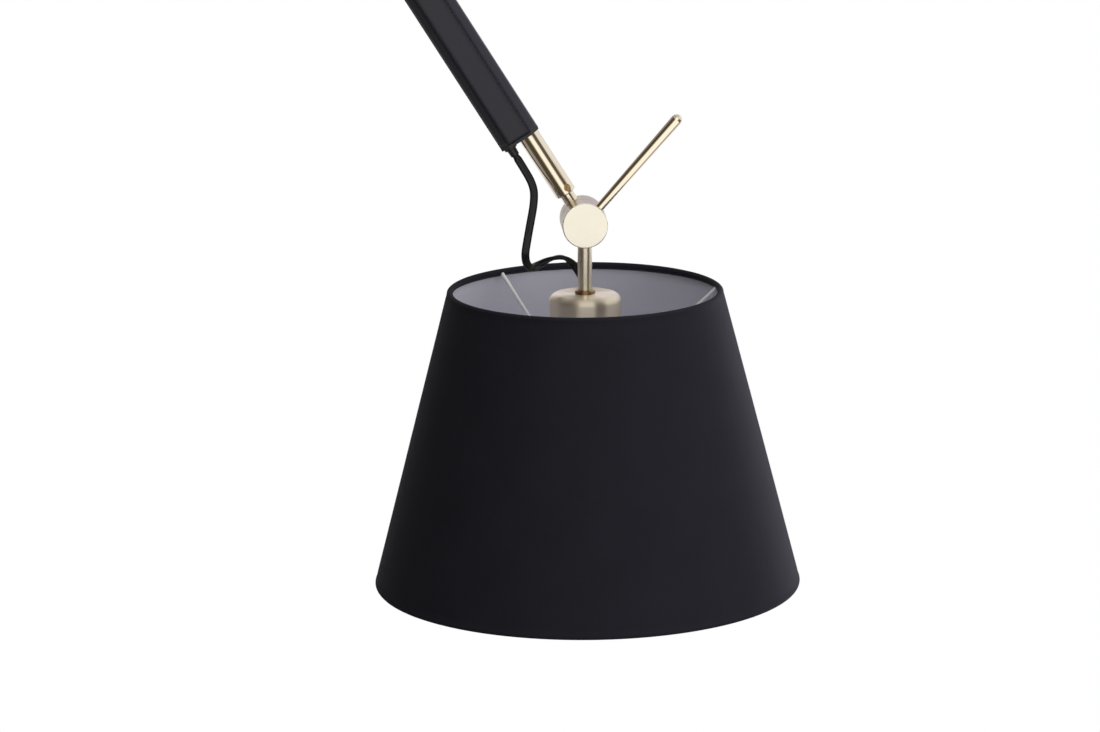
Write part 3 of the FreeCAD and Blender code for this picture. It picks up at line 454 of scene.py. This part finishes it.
def dress_nodes():
    """Gives every CAD node that shows its material.

    A recipe has the function that makes its material, and what that takes after the name.
    """
    across_y = (1, 0, 1)
    across_z = (1, 1, 0)
    cup_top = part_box("socket_cup")[1].z
    # Band just above the cup's top, painted brown as shade at the foot of the stem
    foot_shade_span = (cup_top, cup_top + foot_shade_height)
    recipes = {
        # Hub sides wear a darker copy of the caps' brass, as painted shade
        "brass_hub_lower": (turned_brass, lower_joint, across_y, hub_side_shade_brass, 0.34),
        "brass_hub_upper": (turned_brass, upper_joint, across_y, hub_side_shade_brass, 0.34),
        "brass_cap_lower": (turned_brass, lower_joint, across_y, pale_brass, 0.28),
        "brass_cap_upper": (turned_brass, upper_joint, across_y, pale_brass, 0.28),
        "brass_raw": (turned_brass, lower_joint, across_z, raw_brass, 0.34),
        "brass_polished": (polished_brass, golden_brass, 0.14),
        "brass_post": (polished_brass, golden_brass, 0.24, 1.0),
        "brass_stem": (polished_brass, golden_brass, 0.24, 1.0, foot_shade_span),
        "brass_cup": (polished_brass, golden_brass, 0.36, 1.0),
        "arm_black": (extruded_black, arm_black, 0.26),
        "steel_plated": (plated_steel,),
        "lead_black": (sheath, flex_black),
        "plug_black": (painted, (0.020, 0.020, 0.023), 0.45, 3000.0, 0.00001),
        "canopy_black": (painted, (0.024, 0.024, 0.027), 0.38, 2400.0, 0.00001),
        "plastic_black": (painted, (0.016, 0.016, 0.018), 0.42, 1800.0, 0.00002),
        "plastic_white": (painted, (0.80, 0.79, 0.76), 0.40, 1500.0, 0.00001),
        "washer_white": (painted, (0.82, 0.82, 0.80), 0.35, 1500.0, 0.000005),
        "wire_white": (painted, (0.90, 0.90, 0.91), 0.42, 2200.0, 0.00001),
    }
    for name, (make, *values) in recipes.items():
        material = make(name, *values)
        for piece in worn[name]:
            wear(frame["nodes"][piece], material)


def wear(piece, material):
    """Puts one material on a piece, in place of any that it has."""
    piece.data.materials.clear()
    piece.data.materials.append(material)


# Meshes

def mesh_piece(name, points, faces, body):
    """Smooth mesh from points and faces, riding on a body."""
    mesh = bpy.data.meshes.new(name)
    mesh.from_pydata([tuple(point) for point in points], [], faces)
    mesh.validate()
    for polygon in mesh.polygons:
        polygon.use_smooth = True
    piece = bpy.data.objects.new(name, mesh)
    bpy.context.scene.collection.objects.link(piece)
    if body:
        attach(piece, body)
    return piece


def closed_turned_piece(name, section, turns, shift, body):
    """Closed loop of (radius, height) points at each turn about the shade's axis, moved by shift."""
    points = []
    for turn in turns:
        for radius, height in section:
            radius += shift(turn, height)
            points.append(lower_joint + Vector((radius * math.cos(turn), radius * math.sin(turn), height)))
    count = len(section)
    faces = []
    for i in range(len(turns)):
        here = i * count
        there = (i + 1) % len(turns) * count
        for j in range(count):
            k = (j + 1) % count
            faces.append((here + j, there + j, there + k, here + k))
    return mesh_piece(name, points, faces, body)


def ring_centres():
    """Centres (radius, height) of the shade's two ring wires, read from the frame."""
    centres = []
    for name in ("shade_top_ring", "shade_bottom_ring"):
        low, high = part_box(name)
        half_height = (high.z - low.z) / 2
        radius = high.x - lower_joint.x - half_height
        centres.append(Vector((radius, (high.z + low.z) / 2 - lower_joint.z)))
    return centres


def shade_frame():
    """Upper ring centre, unit step down the slope, unit step outwards, and the slope's length."""
    upper, lower = ring_centres()
    down = (lower - upper).normalized()
    return upper, down, Vector((-down.y, down.x)), (lower - upper).length


def hem_arc(along, side, start, end):
    """Middle line of the cloth round one ring wire, as (along the slope, outwards) points."""
    reach = hem_radius - cloth_thickness / 2
    points = []
    for i in range(hem_steps + 1):
        angle = math.radians(start + (end - start) * i / hem_steps)
        points.append(Vector((along - side * reach * math.sin(angle), reach * math.cos(angle))))
    return points


def straight_run(length, inset, offset, steps):
    """Even points down the slope at one offset, which leave an inset free at both ring wires."""
    return [Vector((inset + (length - 2 * inset) * i / steps, offset)) for i in range(steps + 1)]


def cloth_line(length):
    """Middle line of the cloth: rolled round the upper ring, down the wall, round the lower ring."""
    top = [Vector((hem_tuck, tuck_offset))] + hem_arc(0.0, 1, roll_inside, roll_outside)
    wall = straight_run(length, wall_inset, cloth_offset, wall_steps)
    bottom = hem_arc(length, -1, roll_outside, roll_inside) + [Vector((length - hem_tuck, tuck_offset))]
    return top + wall + bottom


def lining_line(length):
    """Middle line of the lining, between the two ring wires."""
    return straight_run(length, lining_inset, (lining_outer + lining_inner) / 2, lining_steps)


def direction(line, i):
    """Unit step along a line at its point i."""
    return (line[min(i + 1, len(line) - 1)] - line[max(i - 1, 0)]).normalized()


def thick_loop(line, thickness):
    """Closed loop round an open line, half a thickness to each side."""
    outer = []
    inner = []
    for i, point in enumerate(line):
        step = direction(line, i)
        normal = Vector((-step.y, step.x))
        outer.append(point + normal * (thickness / 2))
        inner.append(point - normal * (thickness / 2))
    return outer + inner[::-1]


def shade_shift(turn, height):
    """Small unevenness of cloth stretched on a frame, outwards."""
    total = 0.0
    for depth, round_it, up_it in cloth_waves:
        place = Vector((round_it * math.cos(turn), round_it * math.sin(turn), up_it * height))
        total += depth * noise.noise(place)
    return total


def shade_turns(segments, radius):
    """Even turns round the shade, with more of them where the cloth overlaps at the back."""
    turns = [2 * math.pi * i / segments for i in range(segments)]
    for i in range(overlap_rows):
        turns.append(math.pi / 2 + (i + 0.5) / overlap_rows * cloth_overlap / radius)
    return sorted(turns)


def make_shade():
    """Cloth and lining of the shade."""
    upper, down, outward, length = shade_frame()

    def placed(points):
        """Points beside the slope, turned into (radius, height) points."""
        return [tuple(upper + down * point.x + outward * point.y) for point in points]

    def cloth_shift(turn, height):
        """The small unevenness, and the step where the cloth's end lies over its start at the back."""
        past = (turn - math.pi / 2) * (upper.x + down.x * (height - upper.y) / down.y)
        over = ease(past / overlap_fade) * ease((cloth_overlap - past) / overlap_fade)
        return shade_shift(turn, height) + overlap_step * over

    line = cloth_line(length)
    skin = closed_turned_piece("shade_cloth", placed(thick_loop(line, cloth_thickness)),
                               shade_turns(shade_segments, upper.x), cloth_shift, "head")
    wear(skin, cloth("shade_cloth", cloth_black))
    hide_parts("shade_fabric")
    film_loop = thick_loop(lining_line(length), lining_outer - lining_inner)
    film = closed_turned_piece("shade_lining", placed(film_loop),
                               shade_turns(shade_segments // 2, upper.x), shade_shift, "head")
    wear(film, lining_film("shade_lining", lining_white))
    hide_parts("shade_backing")


def cable_route():
    """Control points of the free cable, from the gland's mouth to the grommet."""
    below_mouth = gland_mouth - arm_up * mouth_run
    between = [Vector(point) for point in route_points]
    above_grommet = grommet_top + Vector((0, 0, grommet_run))
    offsets = [gland_mouth, below_mouth] + between + [above_grommet, grommet_top]
    return [lower_joint + offset for offset in offsets]


def smooth_line(points, resolution):
    """Points read from one smooth spline whose control points are given."""
    curve = bpy.data.curves.new("route", "CURVE")
    curve.dimensions = "3D"
    spline = curve.splines.new("NURBS")
    spline.points.add(len(points) - 1)
    for control, point in zip(spline.points, points):
        control.co = (point.x, point.y, point.z, 1.0)
    spline.order_u = 3
    spline.use_endpoint_u = True
    spline.resolution_u = resolution
    holder = bpy.data.objects.new("route", curve)
    bpy.context.scene.collection.objects.link(holder)
    mesh = bpy.data.meshes.new_from_object(holder)
    line = [vertex.co.copy() for vertex in mesh.vertices]
    bpy.data.objects.remove(holder)
    bpy.data.curves.remove(curve)
    bpy.data.meshes.remove(mesh)
    return line


def ease(share):
    """Smooth step from 0 to 1."""
    share = min(max(share, 0.0), 1.0)
    return share * share * (3 - 2 * share)


def flex_section(flatness):
    """Outline of the flex about its middle: a circle at flatness 0, two wires side by side at 1."""
    round_radius = (cable_width + cable_thickness) / 4
    outline = []
    for i in range(cable_sides):
        angle = 2 * math.pi * i / cable_sides
        wide = math.cos(angle)
        thin = math.sin(angle)
        waist = 1.0 - waist_depth * math.exp(-(wide / waist_width) ** 2)
        flat_x = cable_width / 2 * math.copysign(abs(wide) ** broad_power, wide)
        flat_y = cable_thickness / 2 * math.copysign(abs(thin) ** thin_power, thin) * waist
        x = round_radius * wide * (1 - flatness) + flat_x * flatness
        y = round_radius * thin * (1 - flatness) + flat_y * flatness
        outline.append((x, y))
    return outline


def flex_turn(share):
    """Angle of the flex's broad side at a share of its length.

    It faces forwards, turns up over the hump, and then turns most of the way back.
    """
    turned_up = ease((share - turn_up_from) / (turn_up_to - turn_up_from))
    turned_back = ease((share - turn_back_from) / (turn_back_to - turn_back_from))
    return math.pi / 2 * (turned_up - turn_back_part * turned_back)


def flex_points(line):
    """Outlines of the flex at the points of its middle line, one after another."""
    lengths = [0.0]
    for here, there in zip(line, line[1:]):
        lengths.append(lengths[-1] + (there - here).length)
    total = lengths[-1]
    points = []
    for i, centre in enumerate(line):
        along = direction(line, i)
        side = along.cross(Vector((0, 1, 0))).normalized()
        back = along.cross(side)
        turn = flex_turn(lengths[i] / total)
        broad = side * math.cos(turn) + back * math.sin(turn)
        thin = along.cross(broad)
        flatness = ease(lengths[i] / cable_taper) * ease((total - lengths[i]) / cable_taper)
        points += [centre + broad * x + thin * y for x, y in flex_section(flatness)]
    return points


def tube_faces(rows, sides):
    """Faces that join rows of outlines, with so many sides each, to a tube with closed ends."""
    faces = []
    for i in range(rows - 1):
        for j in range(sides):
            k = (j + 1) % sides
            faces.append((i * sides + j, i * sides + k, (i + 1) * sides + k, (i + 1) * sides + j))
    faces.append(tuple(reversed(range(sides))))
    faces.append(tuple(range((rows - 1) * sides, rows * sides)))
    return faces


def make_cable():
    """Flat flex from the gland to the cup."""
    line = smooth_line(cable_route(), cable_resolution)
    rows = len(line)
    flex = mesh_piece("flex", flex_points(line), tube_faces(rows, cable_sides), None)
    wear(flex, sheath("flex_black", flex_black))
    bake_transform(flex)
    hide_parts("lamp_cable")


# Camera, light and stage

def make_camera():
    """The photograph's camera."""
    data = bpy.data.cameras.new("camera")
    data.sensor_width = sensor_mm
    data.lens = focal_pixels / photo_width * sensor_mm
    data.clip_end = camera_reach
    camera = bpy.data.objects.new("camera", data)
    turn = (Matrix.Rotation(camera_yaw, 4, "Z") @ Matrix.Rotation(math.pi / 2 + camera_pitch, 4, "X")
            @ Matrix.Rotation(camera_roll, 4, "Z"))
    camera.matrix_world = Matrix.Translation(camera_place) @ turn
    bpy.context.scene.collection.objects.link(camera)
    bpy.context.scene.camera = camera


def make_lamp(name, place, target, width, height, watts):
    """Rectangular soft light at a place, facing a target, both measured from the lower joint."""
    data = bpy.data.lights.new(name, "AREA")
    data.shape = "RECTANGLE"
    data.size = width
    data.size_y = height
    data.energy = watts
    lamp = bpy.data.objects.new(name, data)
    lamp.location = lower_joint + Vector(place)
    lamp.rotation_euler = (Vector(target) - Vector(place)).to_track_quat("-Z", "Y").to_euler()
    lamp.visible_glossy = False
    bpy.context.scene.collection.objects.link(lamp)


def by_direction(graph, table, lean=0.0):
    """Colour that a table gives by degrees from the front, and the height that is looked at.

    The table's bands lean by so many degrees for each unit of height, between the lowest and the highest.
    """
    split = graph.add("ShaderNodeSeparateXYZ", {0: graph.add("ShaderNodeTexCoord").outputs["Generated"]})
    forward = graph.maths("MULTIPLY", split.outputs["Y"], -1.0)
    turn = graph.maths("ARCTAN2", split.outputs["X"], forward)
    height = graph.between(split.outputs["Z"], lean_lowest, lean_highest, lean_lowest, lean_highest)
    shift = graph.maths("MULTIPLY", graph.maths("SUBTRACT", height, band_height), math.radians(lean))
    leaning = graph.maths("ADD", turn, shift)
    share = graph.between(leaning, 0.0, 1.0, from_low=-math.pi, from_high=math.pi)
    ramp = graph.add("ShaderNodeValToRGB", {"Fac": share})
    ramp.color_ramp.interpolation = "EASE"
    stops = ramp.color_ramp.elements
    for stop, (degrees, colour) in zip(stops, (table[0], table[-1])):
        stop.position = degrees / 360 + 0.5
        stop.color = opaque(colour)
    for degrees, colour in table[1:-1]:
        stops.new(degrees / 360 + 0.5).color = opaque(colour)
    return ramp.outputs["Color"], split.outputs["Z"]


def studio(graph):
    """Colour of the studio that metal mirrors: bands round the lamp, with a plain grey above and below."""
    bands, height = by_direction(graph, surroundings, band_lean)
    high = graph.between(height, 0.0, 1.0, from_low=overhead_from, from_high=overhead_to)
    low = graph.between(height, 0.0, 1.0, from_low=underneath_from, from_high=underneath_to)
    return graph.mix(low, graph.mix(high, bands, opaque(overhead)), opaque(underneath))


def make_world():
    """White to the camera and through clear surfaces, the studio in mirrors, soft light on the rest."""
    world = bpy.data.worlds.new("studio")
    graph = Graph(world, "Background")
    path = graph.add("ShaderNodeLightPath")
    seen = graph.maths("MAXIMUM", path.outputs["Is Camera Ray"], path.outputs["Is Transmission Ray"])
    soft_table = [(degrees, (level, level, level)) for degrees, level in soft_light]
    soft = by_direction(graph, soft_table)[0]
    unseen = graph.mix(path.outputs["Is Glossy Ray"], soft, studio(graph))
    graph.fill(graph.shader, {"Color": graph.mix(seen, unseen, white), "Strength": 1.0})
    bpy.context.scene.world = world


def make_stage():
    """Pale floor under the lamp."""
    middle = (cad_box[0] + cad_box[1]) / 2
    level = cad_box[0].z - floor_drop
    half = floor_side / 2
    corners = [Vector((middle.x + x * half, middle.y + y * half, level))
               for x, y in ((-1, -1), (1, -1), (1, 1), (-1, 1))]
    floor = mesh_piece("floor", corners, [(0, 1, 2, 3)], None)
    graph = Finish("floor_pale")
    path = graph.add("ShaderNodeLightPath")
    seen = graph.maths("MAXIMUM", path.outputs["Is Camera Ray"], path.outputs["Is Glossy Ray"])
    speckle = graph.noise(scale=6.0, detail=2.0)
    darker, paler = floor_tones
    graph.shade(Base_Color=graph.mix(speckle, grey(darker), grey(paler)), Roughness=0.9,
                Emission_Color=white, Emission_Strength=graph.maths("MULTIPLY", seen, floor_glow))
    wear(floor, graph.material)
    floor.visible_glossy = False


make_camera()
make_world()
make_stage()
make_cable()
make_shade()
dress_nodes()
for lamp in lamps:
    make_lamp(*lamp)

bpy.context.scene.view_settings.view_transform = "Standard"
